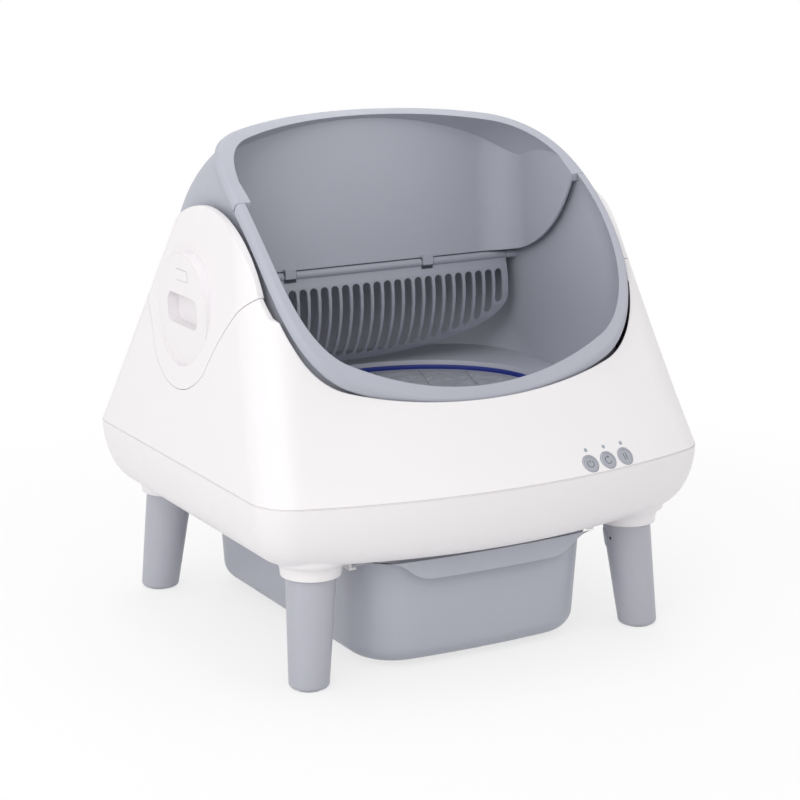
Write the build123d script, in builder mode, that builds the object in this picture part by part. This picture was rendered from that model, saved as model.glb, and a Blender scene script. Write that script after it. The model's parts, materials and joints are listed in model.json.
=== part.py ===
from build123d import *
import os
from math import asin, atan2, cos, degrees, exp, pi, radians, sin, sqrt, tan

# Self-cleaning litter box: an open-topped drum turns in a four-legged base above a waste drawer.
# Millimetres, +Z up. The origin is on the floor below the middle of the base. The front faces -Y.

# Base form: a bowed plan at the parting line, tucked in below it and leaning inwards above it
base_width = 566.0
parting_z = 217.0
front_corner_y = -213.0
back_corner_y = 260.0
front_bow = 53.0
back_bow = 6.0
bow_fade = 95.0
side_lean = 0.154
front_lean = 0.42
back_lean = 0.53
front_corner_radius = 52.0
back_corner_radius = 40.0
form_top_z = 512.0
tray_depth = 75.0
tray_floor = 4.0
tuck_width = 40.0
tuck_depth = 76.0
shell_wall = 3.0
parting_gap = 1.2
tongue_height = 3.5
tongue_wall = 2.2
return_z = 262.0
return_radius = 165.0

# Clearances
fit_gap = 0.3
run_gap = 2.5
bearing_gap = 0.05
seam_gap = 0.5
overrun = 17.0

# Drum: a barrel about a cross axis, cut open by a large cylinder that shapes the mouth
axis_y = 18.0
axis_z = 384.0
drum_side = 59.0
drum_half = base_width / 2 - drum_side
drum_crown = 222.0
drum_shoulder = 87.0
drum_end_radius = 114.0
drum_wall = 3.5
mouth_y = 222.0
mouth_z = 135.0
mouth_radius = 457.6
lip_out = 7.0
lip_depth = 10.0
lip_root = 0.5
lip_round = 6.0
lip_under = 2.0

# Hood insert: the scoop that lines the upper back of the drum
hood_side = 12.0
hood_half = drum_half - hood_side
hood_back_y = 109.0
hood_foot_z = 401.0
hood_tilt = 4.6
hood_corner = 46.0
hood_wall = 3.0
notch_y = -36.0
hood_seam_bend = (42.0, 421.0)
hood_notch_z = 513.0

# Sieve gate that hangs from the hinge pin below the hood
hinge_y = 106.0
hinge_z = 395.0
pin_radius = 2.5
knuckle_radius = 5.0
hinge_side_gap = 0.6
sieve_side = 19.0
sieve_half = drum_half - sieve_side
sieve_wall = 3.0
sieve_shoulder_z = 348.0
sieve_drop = 68.0
sieve_bulge_y = 97.0
sieve_bulge_z = 338.0
sieve_foot_y = 126.0
slot_count = 28
sieve_border = 6.2
slot_pitch = 2 * (sieve_half - sieve_border) / slot_count
bar_width = 3.8
slot_width = slot_pitch - bar_width
slot_top_z = 379.0
slot_margin = 8.0
slot_flats = 6
sieve_flats = 8
clip_x = 93.0
clip_width = 16.0
clip_gap = 1.0
clip_reach = 6.0
clip_drop = 2.5
clip_wall = 2.8

# Litter bed: a deck across the drum, a hoop that sits in it and the fabric liner below the hoop
deck_z = 272.0
deck_thickness = 13.0
deck_slope = 5.0
liner_side = 52.0
liner_half_x = drum_half - liner_side
liner_half_y = 135.0
liner_y = -9.0
hoop_section = 5.0
hoop_drop = 9.0
hoop_ledge = 6.0
liner_sag = 15.0

# Bearings and drive
trunnion_radius = 20.0
trunnion_flange = 34.0
trunnion_flange_thickness = 2.5
trunnion_proud = 1.0
trunnion_chamfer = 0.8
frame_side = 11.5
frame_x = drum_half + frame_side
frame_thickness = 3.5
frame_head = 46.0
frame_foot_front = -70.0
frame_foot_back = 112.0
bush_wall = 6.0
bush_proud = 0.5
gear_module = 2.0
gear_teeth = 96
pinion_teeth = 10
gear_width = 8.0
gear_rim = 12.0
tooth_height = 1.7
tooth_clear = 0.7
tooth_share = 0.40
pressure_angle = 20.0
pinion_angle = -60.0
motor_shaft_radius = 4.0
motor_depth = 22.0
motor_length = 78.0
motor_height = 42.0
motor_corner = 8.0
motor_round = 2.0

# Side covers: an arched cheek with a round hub disc, a grip recess and a release tab
arch_back = -2.0
arch_drop = 21.0
arch_radius = 140.0
arch_start = 41.0
hub_back = 20.0
hub_inset = 22.0
hub_face_x = base_width / 2 - hub_inset
hub_radius = 62.0
hub_wall = 3.0
lobe_radius = 88.0
lobe_angle = 48.0
flare_reach = 92.0
flare_drop = 19.0
flare_half = 152.0
flare_rise = 40.0
grip_width = 78.0
grip_height = 34.0
grip_corner = 11.0
grip_depth = 13.0
tab_width = 30.0
tab_height = 12.0
tab_rise = 40.0
tab_proud = 0.8
tab_flange = 2.0
tab_corner = 2.0

# Legs
leg_inset_x = 66.0
leg_inset_front = 33.3
leg_inset_back = 38.3
leg_lean_x = 10.2
leg_lean_y = 13.5
leg_top_z = 125.0
leg_top_radius = 28.0
leg_foot_radius = 22.5
leg_round = 5.0
collar_radius = 33.5
collar_flare = 8.0
collar_share = 0.3
collar_sweep = 9.0
collar_top = 6.0
spigot_radius = 23.0
spigot_height = 14.0
pad_radius = 17.0
pad_thickness = 3.0
pad_proud = 1.0

# Waste drawer and its rails
drawer_half = 150.0
drawer_front_y = -188.0
drawer_back_y = 240.0
drawer_bow = 10.0
drawer_draft = 6.0
drawer_floor_z = 6.0
drawer_rim_z = 127.0
drawer_corner = 60.0
drawer_wall = 2.5
drawer_round = 22.0
flange_reach = 7.0
flange_thickness = 3.0
rail_wall = 3.0
rail_side_gap = 1.6
rail_front_y = -168.0
rail_back_y = 200.0
handle_height = 28.0
handle_reach = 15.0
handle_inset = 18.0
handle_half = drawer_half - handle_inset
handle_top_z = 138.0
handle_trough = 9.0
handle_sweep = 62.0
handle_wall = 3.0
handle_lean = 1.5
handle_web = 10.0
trough_share = 0.45
chute_inset = 32.0
chute_half_x = drawer_half - chute_inset
chute_front_y = -120.0
chute_back_y = 150.0
chute_corner = 30.0

# Buttons and lights
button_radius = 10.5
button_first_x = 99.0
button_pitch = 25.6
button_count = 3
button_z = 227.0
button_depth = 5.0
button_proud = 0.8
button_round = 1.0
button_rim = 2.0
button_dish = 0.6
light_radius = 2.0
light_rise = 13.0
light_depth = 8.0
light_proud = 0.2
board_drop = 9.0
board_height = 30.0
board_corner = 3.0
board_thickness = 1.6
board_margin = 14.0
post_radius = 3.0

# Power inlet
inlet_x = 150.0
inlet_z = 185.0
inlet_radius = 7.0
inlet_bore = 3.0
inlet_depth = 12.0
inlet_wall = 6.0

# Screws below the tray
screw_inset = 16.0
screw_head_radius = 4.5
screw_head_height = 2.6
screw_socket_radius = 2.2

# Top edge of the white body beside the arch, as (back, up) from the drum axis
edge_front_low = (-208.0, -66.0)
edge_front_bend = (-184.0, -11.0)
edge_front_high = (-145.0, 18.0)
edge_back_high = (139.0, 18.0)
edge_back_bend = (179.0, -28.0)
edge_back_low = (204.0, -84.0)

# Derived places
arch_y = axis_y + arch_back
arch_z = axis_z - arch_drop
arch_start_z = axis_z + arch_start
hub_y = axis_y + hub_back
hub_z = axis_z
tray_bottom_z = parting_z - tray_depth
tray_floor_z = tray_bottom_z + tray_floor
housing_foot_z = parting_z + parting_gap / 2
housing_steps = (0.0, 0.10, 0.20, 0.32, 0.48, 0.72, 1.0)
housing_levels = [housing_foot_z + step * (form_top_z - housing_foot_z) for step in housing_steps]
tray_steps = (0.0, 0.30, 0.55, 0.76, 0.90, 1.0)
clear_grow = lip_out + run_gap
drum_axis = Axis((0, axis_y, axis_z), (1, 0, 0))
side_view = Plane.YZ
leg_spread_x = base_width / 2 - leg_inset_x
leg_front_y = front_corner_y + leg_inset_front
leg_back_y = back_corner_y - leg_inset_back
reach = base_width / 2 + overrun


def front_bow_at(rise):
    """How far the front bows out at a height above the parting line."""
    return front_bow * exp(-rise / bow_fade)


def base_section(level, inset):
    """Plan of the base at a height, drawn in by an inset: bowed front and back, round corners."""
    rise = max(level - parting_z, 0.0)
    fall = min(max(parting_z - level, 0.0) / tuck_depth, 1.0)
    inset = inset + tuck_width * (1 - sqrt(1 - fall * fall))
    half = base_width / 2 - side_lean * rise - inset
    front = front_corner_y + front_lean * rise + inset
    back = back_corner_y - back_lean * rise - inset
    with BuildSketch(Plane.XY.offset(level)) as section:
        with BuildLine():
            ThreePointArc((-half, front), (0, front - front_bow_at(rise)), (half, front))
            Line((half, front), (half, back))
            ThreePointArc((half, back), (0, back + back_bow * exp(-rise / bow_fade)), (-half, back))
            Line((-half, back), (-half, front))
        make_face()
        fillet(section.vertices().sort_by(Axis.Y)[:2], front_corner_radius - inset / 2)
        fillet(section.vertices().sort_by(Axis.Y)[-2:], back_corner_radius - inset / 2)
    return section.sketch


def base_form(levels, inset):
    """Solid of the base between the given heights, drawn in all round by an inset."""
    with BuildPart() as form:
        loft(sections=[base_section(level, inset) for level in levels])
    return form.part


def drum_form(grow):
    """Solid barrel about the drum axis, its skin moved outwards by grow."""
    centre_x = drum_half - drum_shoulder
    rise = drum_crown - drum_end_radius
    crown = (centre_x**2 + rise**2 - drum_shoulder**2) / (2 * (rise - drum_shoulder))
    lean = atan2(centre_x, crown - rise)
    middle = (lean + pi / 2) / 2
    round_radius = drum_shoulder + grow
    tip = (centre_x + round_radius * sin(lean), drum_end_radius + round_radius * cos(lean))
    bend = (centre_x + round_radius * sin(middle), drum_end_radius + round_radius * cos(middle))
    end = (centre_x + round_radius, drum_end_radius)
    with BuildPart() as barrel:
        with BuildSketch(Plane(origin=(0, axis_y, axis_z), x_dir=(1, 0, 0), z_dir=(0, -1, 0))):
            with BuildLine():
                Line((-end[0], 0), (-end[0], end[1]))
                ThreePointArc((-end[0], end[1]), (-bend[0], bend[1]), (-tip[0], tip[1]))
                ThreePointArc((-tip[0], tip[1]), (0, drum_crown + grow), tip)
                ThreePointArc(tip, bend, end)
                Line(end, (end[0], 0))
                Line((end[0], 0), (-end[0], 0))
            make_face()
        revolve(axis=drum_axis)
    return barrel.part


def mouth_form(drop):
    """Solid below the mouth surface, lowered by drop: a cylinder along X."""
    with BuildPart() as below:
        with BuildSketch(side_view):
            with Locations((mouth_y, mouth_z)):
                Circle(mouth_radius - drop)
        extrude(amount=reach, both=True)
    return below.part


def lip_form(depth):
    """Solid of the drum's lip down to a depth below the mouth, with its outer edges rounded."""
    with BuildPart() as lip:
        add(drum_form(lip_out))
        add(mouth_form(0), mode=Mode.INTERSECT)
        add(mouth_form(depth), mode=Mode.SUBTRACT)
        top = lip.faces().filter_by(GeomType.CYLINDER).sort_by(lambda face: face.radius)[-1]
        fillet(top.edges(), lip_round)
        foot = lip.faces().filter_by(GeomType.CYLINDER).sort_by(lambda face: face.radius)[0]
        fillet(foot.edges(), lip_under)
    return lip.part


def scoop_form(inset):
    """Space inside the hood: a tilted round-cornered shaft within the drum's inner skin."""
    shaft = Plane(
        origin=(0, hood_back_y, hood_foot_z),
        x_dir=(1, 0, 0),
        z_dir=(0, sin(radians(hood_tilt)), cos(radians(hood_tilt))),
    )
    half = hood_half - inset
    with BuildPart() as scoop:
        with BuildSketch(shaft.offset(-reach / 2)) as outline:
            with Locations((0, -inset)):
                Rectangle(2 * half, 2 * reach, align=(Align.CENTER, Align.MAX))
            fillet(outline.vertices().group_by(Axis.Y)[-1], hood_corner - inset)
        extrude(amount=2 * reach)
        add(drum_form(-drum_wall - fit_gap - inset), mode=Mode.INTERSECT)
    return scoop.part


def side_prism(points_and_arcs):
    """Prism along X of a closed side-view outline given as lines (2 points) and arcs (3 points)."""
    with BuildPart() as prism:
        with BuildSketch(side_view):
            with BuildLine():
                for piece in points_and_arcs:
                    if len(piece) == 3:
                        ThreePointArc(*piece)
                    else:
                        Line(*piece)
            make_face()
        extrude(amount=reach, both=True)
    return prism.part


def above_edge():
    """Everything above the top edge of the white body: low front and back, an arch at each side."""
    arch_half = sqrt(arch_radius**2 - (arch_start_z - arch_z) ** 2)
    front_low = (axis_y + edge_front_low[0], axis_z + edge_front_low[1])
    front_bend = (axis_y + edge_front_bend[0], axis_z + edge_front_bend[1])
    front_high = (axis_y + edge_front_high[0], axis_z + edge_front_high[1])
    arch_front = (arch_y - arch_half, arch_start_z)
    arch_top = (arch_y, arch_z + arch_radius)
    arch_back = (arch_y + arch_half, arch_start_z)
    back_high = (axis_y + edge_back_high[0], axis_z + edge_back_high[1])
    back_bend = (axis_y + edge_back_bend[0], axis_z + edge_back_bend[1])
    back_low = (axis_y + edge_back_low[0], axis_z + edge_back_low[1])
    ceiling = form_top_z + reach
    far = 2 * reach
    return side_prism(
        [
            ((-far, front_low[1]), front_low),
            (front_low, front_bend, front_high),
            (front_high, arch_front),
            (arch_front, arch_top, arch_back),
            (arch_back, back_high),
            (back_high, back_bend, back_low),
            (back_low, (far, back_low[1])),
            ((far, back_low[1]), (far, ceiling)),
            ((far, ceiling), (-far, ceiling)),
            ((-far, ceiling), (-far, front_low[1])),
        ]
    )


def cover_region(grow):
    """Side-view region of a side cover: a round lobe below the hub that flares out to the arch."""
    radius = lobe_radius + grow
    lobe_y = radius * sin(radians(lobe_angle))
    lobe_z = radius * cos(radians(lobe_angle))
    bend_y = flare_reach + grow
    bend_z = hub_z - flare_drop - grow
    flare_y = flare_half + grow
    flare_z = flare_rise - grow
    ceiling = form_top_z + reach
    front = (hub_y - lobe_y, hub_z - lobe_z)
    back = (hub_y + lobe_y, hub_z - lobe_z)
    front_out = (hub_y - flare_y, hub_z + flare_z)
    back_out = (hub_y + flare_y, hub_z + flare_z)
    return side_prism(
        [
            (front, (hub_y, hub_z - radius), back),
            (back, (hub_y + bend_y, bend_z), back_out),
            (back_out, (back_out[0], ceiling)),
            ((back_out[0], ceiling), (front_out[0], ceiling)),
            ((front_out[0], ceiling), front_out),
            (front_out, (hub_y - bend_y, bend_z), front),
        ]
    )


def half_space(low_x):
    """Block of everything to the right of a plane across X."""
    with BuildPart() as block:
        with Locations((low_x, 0, 0)):
            Box(reach, 4 * reach, 6 * reach, align=(Align.MIN, Align.CENTER, Align.CENTER))
    return block.part


def front_place(x, z):
    """Plane on the front skin of the housing at a place, its normal pointing out of the housing."""
    def skin_y(at_x, at_z):
        rise = at_z - parting_z
        half = base_width / 2 - side_lean * rise
        bow = front_bow_at(rise)
        bow_radius = (half * half + bow * bow) / (2 * bow)
        return front_corner_y + front_lean * rise + bow_radius - bow - sqrt(bow_radius**2 - at_x**2)

    step = 1.0
    along_x = Vector(2 * step, skin_y(x + step, z) - skin_y(x - step, z), 0)
    along_z = Vector(0, skin_y(x, z + step) - skin_y(x, z - step), 2 * step)
    return Plane(origin=(x, skin_y(x, z), z), x_dir=along_x, z_dir=along_x.cross(along_z))


def leg_centre(side, y, z):
    """Centre of a leg at a height: the legs splay outwards towards the floor."""
    rise = z / leg_top_z
    away = 1 if y > 0 else -1
    return (side * (leg_spread_x - leg_lean_x * rise), y - away * leg_lean_y * rise)


above = above_edge()
clear_drum = drum_form(clear_grow)
outer_form = base_form(housing_levels, 0.0)
inner_form = base_form(housing_levels, shell_wall)
leg_places = {
    "front_left": (-1, leg_front_y),
    "front_right": (1, leg_front_y),
    "back_left": (-1, leg_back_y),
    "back_right": (1, leg_back_y),
}
button_xs = [button_first_x + i * button_pitch for i in range(button_count)]
button_places = [front_place(x, button_z) for x in button_xs]
light_places = [front_place(x, button_z + light_rise) for x in button_xs]
board_place = front_place(button_xs[1], button_z + light_rise)
os.makedirs("parts", exist_ok=True)

# Base tray: the tucked-in lower shell with a chute through its floor and a socket collar for each leg
tray_top_z = parting_z - parting_gap / 2
tray_levels = [tray_top_z - step * (tray_top_z - tray_bottom_z) for step in tray_steps]
inside_levels = [tray_top_z - step * (tray_top_z - tray_floor_z) for step in tray_steps]
socket_z = leg_top_z + spigot_height + fit_gap
with BuildPart() as base_tray:
    loft(sections=[base_section(level, 0) for level in tray_levels])
    loft(sections=[base_section(level, shell_wall) for level in inside_levels], mode=Mode.SUBTRACT)
    tongue_levels = (tray_top_z - 2 * tongue_height, tray_top_z + tongue_height)
    tongue_insets = (shell_wall - fit_gap, shell_wall + fit_gap)
    loft(sections=[base_section(z, t) for z, t in zip(tongue_levels, tongue_insets)])
    loft(
        sections=[base_section(z, t + tongue_wall) for z, t in zip(tongue_levels, tongue_insets)],
        mode=Mode.SUBTRACT,
    )
    for side, leg_y in leg_places.values():
        centre = leg_centre(side, leg_y, leg_top_z)
        with BuildSketch(Plane(origin=(*centre, leg_top_z), x_dir=(1, 0, 0), z_dir=(0, -1, 0))):
            with BuildLine():
                collar_neck = (collar_radius, tray_bottom_z - leg_top_z - collar_sweep)
                bend_z = tray_bottom_z - leg_top_z - collar_share * collar_sweep
                collar_bend = (collar_radius + collar_share * collar_flare, bend_z)
                collar_spread = (collar_radius + collar_flare, tray_bottom_z - leg_top_z)
                collar_roof = (collar_radius + collar_flare, socket_z + collar_top - leg_top_z)
                Line((0, 0), (collar_radius, 0))
                Line((collar_radius, 0), collar_neck)
                ThreePointArc(collar_neck, collar_bend, collar_spread)
                Line(collar_spread, collar_roof)
                Line(collar_roof, (0, collar_roof[1]))
                Line((0, collar_roof[1]), (0, 0))
            make_face()
        revolve(axis=Axis((*centre, leg_top_z), (0, 0, 1)))
        with BuildSketch(Plane.XY.offset(leg_top_z)):
            with Locations(centre):
                Circle(spigot_radius + fit_gap)
        extrude(amount=spigot_height + fit_gap, mode=Mode.SUBTRACT)
    with BuildSketch(Plane.XY.offset(tray_bottom_z)):
        with Locations((0, (chute_front_y + chute_back_y) / 2)):
            RectangleRounded(2 * chute_half_x, chute_back_y - chute_front_y, chute_corner)
    extrude(amount=2 * tray_floor, mode=Mode.SUBTRACT)
    for place in button_places:
        with BuildSketch(place):
            Circle(button_radius + run_gap)
        extrude(amount=-3 * button_depth, mode=Mode.SUBTRACT)
    with BuildSketch(Plane.XZ.offset(-back_corner_y)):
        with Locations((inlet_x, inlet_z)):
            Circle(inlet_radius + fit_gap)
    extrude(amount=2 * inlet_depth, both=True, mode=Mode.SUBTRACT)
base_tray.part.label = "base_tray"
export_step(base_tray.part, "parts/base_tray.step")

# Return lip: where the housing turns down inside its top edge, alongside the drum
with BuildPart() as return_lip:
    add(drum_form(clear_grow + shell_wall))
    add(outer_form, mode=Mode.INTERSECT)
    with Locations((0, 0, return_z)):
        Box(4 * reach, 4 * reach, reach, align=(Align.CENTER, Align.CENTER, Align.MIN), mode=Mode.INTERSECT)
    with BuildSketch(side_view):
        with Locations((axis_y, axis_z)):
            Circle(return_radius)
    extrude(amount=reach, both=True, mode=Mode.SUBTRACT)

# Posts behind the front of the housing that carry the control board
board_length = (button_count - 1) * button_pitch + 2 * button_radius + 2 * board_margin
board_face = board_place.offset(-board_drop)
with BuildPart() as board_posts:
    with BuildSketch(board_face):
        with GridLocations(board_length - 4 * post_radius, 0, 2, 1):
            Circle(post_radius)
    extrude(amount=board_drop)
    add(outer_form, mode=Mode.INTERSECT)

# Base housing: the upper shell with the drum opening, the cover recesses and the control holes
with BuildPart() as base_housing:
    add(outer_form)
    add(inner_form, mode=Mode.SUBTRACT)
    add(return_lip.part)
    add(board_posts.part)
    add(clear_drum, mode=Mode.SUBTRACT)
    add(above, mode=Mode.SUBTRACT)
    add(cover_region(seam_gap / 2), mode=Mode.SUBTRACT)
    for place in button_places:
        with BuildSketch(place):
            Circle(button_radius + fit_gap)
        extrude(amount=2 * shell_wall, both=True, mode=Mode.SUBTRACT)
    for place in light_places:
        with BuildSketch(place):
            Circle(light_radius + fit_gap / 2)
        extrude(amount=2 * shell_wall, both=True, mode=Mode.SUBTRACT)
base_housing.part.label = "base_housing"
export_step(base_housing.part, "parts/base_housing.step")

# Right side cover: the arched cheek with its hub disc, grip recess and tab slot
hub_plane = Plane(origin=(hub_face_x, hub_y, hub_z), x_dir=(0, 1, 0), z_dir=(1, 0, 0))
with BuildPart() as arch_band:
    add(outer_form)
    add(inner_form, mode=Mode.SUBTRACT)
    with BuildSketch(side_view):
        with Locations((arch_y, arch_z)):
            Circle(arch_radius)
            Circle(arch_radius - shell_wall, mode=Mode.SUBTRACT)
    extrude(amount=reach, both=True)
    add(outer_form, mode=Mode.INTERSECT)
    add(half_space(drum_half), mode=Mode.INTERSECT)
    add(cover_region(-seam_gap / 2), mode=Mode.INTERSECT)
    add(above, mode=Mode.SUBTRACT)
with BuildPart() as hub_ring:
    with BuildSketch(hub_plane):
        Circle(hub_radius + hub_wall)
        Circle(hub_radius, mode=Mode.SUBTRACT)
    extrude(amount=hub_radius, both=True)
    add(outer_form, mode=Mode.INTERSECT)
    add(half_space(hub_face_x - hub_radius / 4), mode=Mode.INTERSECT)
with BuildPart() as side_cover_right:
    add(arch_band.part)
    with BuildSketch(hub_plane):
        Circle(hub_radius)
    extrude(amount=hub_radius, both=True, mode=Mode.SUBTRACT)
    add(hub_ring.part)
    with BuildSketch(hub_plane):
        Circle(hub_radius + hub_wall)
    extrude(amount=-hub_radius / 4)
    with BuildSketch(hub_plane.offset(-hub_wall)):
        Circle(hub_radius)
    extrude(amount=-hub_radius, mode=Mode.SUBTRACT)
    with BuildSketch(hub_plane):
        RectangleRounded(grip_width + 2 * hub_wall, grip_height + 2 * hub_wall, grip_corner + hub_wall)
    extrude(amount=-grip_depth - hub_wall)
    with BuildSketch(hub_plane):
        RectangleRounded(grip_width, grip_height, grip_corner)
    extrude(amount=-grip_depth, mode=Mode.SUBTRACT)
    with BuildSketch(hub_plane):
        with Locations((0, tab_rise)):
            RectangleRounded(tab_width + 2 * fit_gap, tab_height + 2 * fit_gap, tab_corner)
    extrude(amount=-2 * hub_wall, mode=Mode.SUBTRACT)
    add(clear_drum, mode=Mode.SUBTRACT)
side_cover_right.part.label = "side_cover_right"
export_step(side_cover_right.part, "parts/side_cover_right.step")

with BuildPart() as side_cover_left:
    mirror(side_cover_right.part, about=Plane.YZ)
side_cover_left.part.label = "side_cover_left"
export_step(side_cover_left.part, "parts/side_cover_left.step")

# Cover release tabs: a flanged key in the slot of each hub disc
with BuildPart() as cover_tab_right:
    with BuildSketch(hub_plane.offset(tab_proud)):
        with Locations((0, tab_rise)):
            RectangleRounded(tab_width, tab_height, tab_corner)
    extrude(amount=-tab_proud - hub_wall - fit_gap)
    chamfer(cover_tab_right.faces().sort_by(Axis.X)[-1].edges(), tab_proud / 2)
    with BuildSketch(hub_plane.offset(-hub_wall - fit_gap)):
        with Locations((0, tab_rise)):
            RectangleRounded(tab_width + 2 * tab_flange, tab_height + 2 * tab_flange, tab_corner)
    extrude(amount=-tab_flange)
cover_tab_right.part.label = "cover_tab_right"
export_step(cover_tab_right.part, "parts/cover_tab_right.step")

with BuildPart() as cover_tab_left:
    mirror(cover_tab_right.part, about=Plane.YZ)
cover_tab_left.part.label = "cover_tab_left"
export_step(cover_tab_left.part, "parts/cover_tab_left.step")

# Drum shell: the barrel's skin below the mouth, its front lip, and bosses for the sieve's hinge pin
inner_drum = drum_form(-drum_wall)
with BuildPart() as front_lip:
    add(lip_form(lip_depth + lip_root))
    add(inner_drum, mode=Mode.SUBTRACT)
    with Locations((0, notch_y, axis_z)):
        Box(4 * reach, reach, reach, align=(Align.CENTER, Align.MAX, Align.CENTER), mode=Mode.INTERSECT)
boss_length = drum_half - drum_wall - sieve_half - hinge_side_gap
with BuildPart() as drum_shell:
    add(drum_form(0))
    add(inner_drum, mode=Mode.SUBTRACT)
    add(mouth_form(lip_depth), mode=Mode.INTERSECT)
    add(front_lip.part)
    for side in (-1, 1):
        with BuildSketch(Plane.YZ.offset(side * (drum_half - drum_wall))):
            with Locations((hinge_y, hinge_z)):
                Circle(knuckle_radius)
        extrude(amount=-side * boss_length)
        with BuildSketch(Plane.YZ.offset(side * (sieve_half + hinge_side_gap))):
            with Locations((hinge_y, hinge_z)):
                Circle(pin_radius + bearing_gap)
        extrude(amount=side * (boss_length - fit_gap), mode=Mode.SUBTRACT)
drum_shell.part.label = "drum_shell"
export_step(drum_shell.part, "parts/drum_shell.step")

# Hood insert: the scoop that lines the upper back of the drum, carries the upper lip and clips the pin
low_corner = (Align.CENTER, Align.MIN, Align.MIN)
scoop_inside = scoop_form(hood_wall)
hood_keep = side_prism(
    [
        ((notch_y + fit_gap, hood_notch_z), hood_seam_bend, (hood_back_y, hood_foot_z)),
        ((hood_back_y, hood_foot_z), (2 * reach, hood_foot_z)),
        ((2 * reach, hood_foot_z), (2 * reach, 3 * reach)),
        ((2 * reach, 3 * reach), (notch_y + fit_gap, 3 * reach)),
        ((notch_y + fit_gap, 3 * reach), (notch_y + fit_gap, hood_notch_z)),
    ]
)
with BuildPart() as hood_insert:
    add(scoop_form(0))
    add(mouth_form(lip_depth / 2), mode=Mode.INTERSECT)
    add(lip_form(lip_depth - fit_gap))
    add(scoop_inside, mode=Mode.SUBTRACT)
    add(hood_keep, mode=Mode.INTERSECT)
    for x in (-clip_x, clip_x):
        with Locations((x, hinge_y - clip_reach, hood_foot_z)):
            Box(clip_width - 2 * clip_gap, hood_back_y - hinge_y + clip_reach, clip_wall, align=low_corner)
        with Locations((x, hinge_y - clip_reach, hinge_z - clip_drop)):
            Box(clip_width - 2 * clip_gap, clip_wall, hood_foot_z - hinge_z + clip_drop, align=low_corner)
hood_insert.part.label = "hood_insert"
export_step(hood_insert.part, "parts/hood_insert.step")

# Hinge pin of the sieve
pin_half = sieve_half + hinge_side_gap + boss_length - 2 * fit_gap
with BuildPart() as sieve_pin:
    with BuildSketch(Plane.YZ):
        with Locations((hinge_y, hinge_z)):
            Circle(pin_radius)
    extrude(amount=pin_half, both=True)
sieve_pin.part.label = "sieve_pin"
export_step(sieve_pin.part, "parts/sieve_pin.step")


def slot_outline(x, foot_z):
    """Corners of a round-ended slot of the sieve, each end drawn as short flats."""
    radius = slot_width / 2
    turns = [pi * i / slot_flats for i in range(slot_flats + 1)]
    top = [(x + radius * cos(t), slot_top_z - radius + radius * sin(t)) for t in turns]
    foot = [(x - radius * cos(t), foot_z + radius - radius * sin(t)) for t in turns]
    return top + foot


def arc_points(start, middle, end):
    """Points along the arc through three points, one for each end of the sieve's flats."""
    arc = ThreePointArc(start, middle, end, mode=Mode.PRIVATE)
    return [arc.position_at(i / sieve_flats) for i in range(sieve_flats + 1)]


# Sieve gate: a bulged grille with a round-ended slot between each pair of bars
sieve_foot_z = sieve_shoulder_z - sieve_drop
with BuildPart() as sieve_gate:
    with BuildSketch(Plane.XZ):
        with BuildLine():
            Line((-sieve_half, sieve_shoulder_z), (-sieve_half, hinge_z))
            Line((-sieve_half, hinge_z), (sieve_half, hinge_z))
            Line((sieve_half, hinge_z), (sieve_half, sieve_shoulder_z))
            shoulder = (0, sieve_shoulder_z)
            EllipticalCenterArc(shoulder, sieve_half, sieve_drop, start_angle=180, arc_size=180)
        make_face()
        for i in range(slot_count):
            slot_x = (i - (slot_count - 1) / 2) * slot_pitch
            slot_edge = sieve_drop * sqrt(1 - ((abs(slot_x) + slot_width / 2) / sieve_half) ** 2)
            slot_foot_z = sieve_shoulder_z - slot_edge + slot_margin
            with BuildLine():
                Polyline(*slot_outline(slot_x, slot_foot_z), close=True)
            make_face(mode=Mode.SUBTRACT)
    extrude(amount=-reach)
    with BuildSketch(Plane.YZ):
        with BuildLine():
            front_top = (hinge_y - sieve_wall / 2, hinge_z)
            back_top = (hinge_y + sieve_wall / 2, hinge_z)
            front_foot = (sieve_foot_y, sieve_foot_z)
            back_foot = (sieve_foot_y + sieve_wall, sieve_foot_z)
            front_line = arc_points(front_top, (sieve_bulge_y, sieve_bulge_z), front_foot)
            back_line = arc_points(back_foot, (sieve_bulge_y + sieve_wall, sieve_bulge_z), back_top)
            Polyline(*front_line, *back_line, close=True)
        make_face()
    extrude(amount=reach, both=True, mode=Mode.INTERSECT)
    with BuildSketch(Plane.YZ):
        with Locations((hinge_y, hinge_z)):
            Circle(knuckle_radius)
    extrude(amount=sieve_half, both=True)
    for x in (-clip_x, clip_x):
        with Locations((x, hinge_y, hinge_z)):
            Box(clip_width, 4 * knuckle_radius, 3 * knuckle_radius, mode=Mode.SUBTRACT)
    with BuildSketch(Plane.YZ):
        with Locations((hinge_y, hinge_z)):
            Circle(pin_radius + bearing_gap)
    extrude(amount=reach, both=True, mode=Mode.SUBTRACT)
sieve_gate.part.label = "sieve_gate"
export_step(sieve_gate.part, "parts/sieve_gate.step")

# Bed deck: the floor across the drum, stepped to seat the liner hoop
with BuildPart() as bed_deck:
    with Locations((0, axis_y, deck_z)):
        Box(2 * drum_half, 2 * drum_crown, deck_thickness, align=(Align.CENTER, Align.CENTER, Align.MAX))
    add(drum_form(-drum_wall - fit_gap), mode=Mode.INTERSECT)
    with BuildSketch(Plane.XY.offset(deck_z - hoop_drop)):
        with Locations((0, liner_y)):
            Ellipse(liner_half_x + fit_gap, liner_half_y + fit_gap)
    with BuildSketch(Plane.XY.offset(deck_z)):
        with Locations((0, liner_y)):
            Ellipse(liner_half_x + deck_slope, liner_half_y + deck_slope)
    loft(mode=Mode.SUBTRACT)
    with BuildSketch(Plane.XY.offset(deck_z - deck_thickness)):
        with Locations((0, liner_y)):
            Ellipse(liner_half_x - hoop_ledge, liner_half_y - hoop_ledge)
    extrude(amount=deck_thickness, mode=Mode.SUBTRACT)
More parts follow.
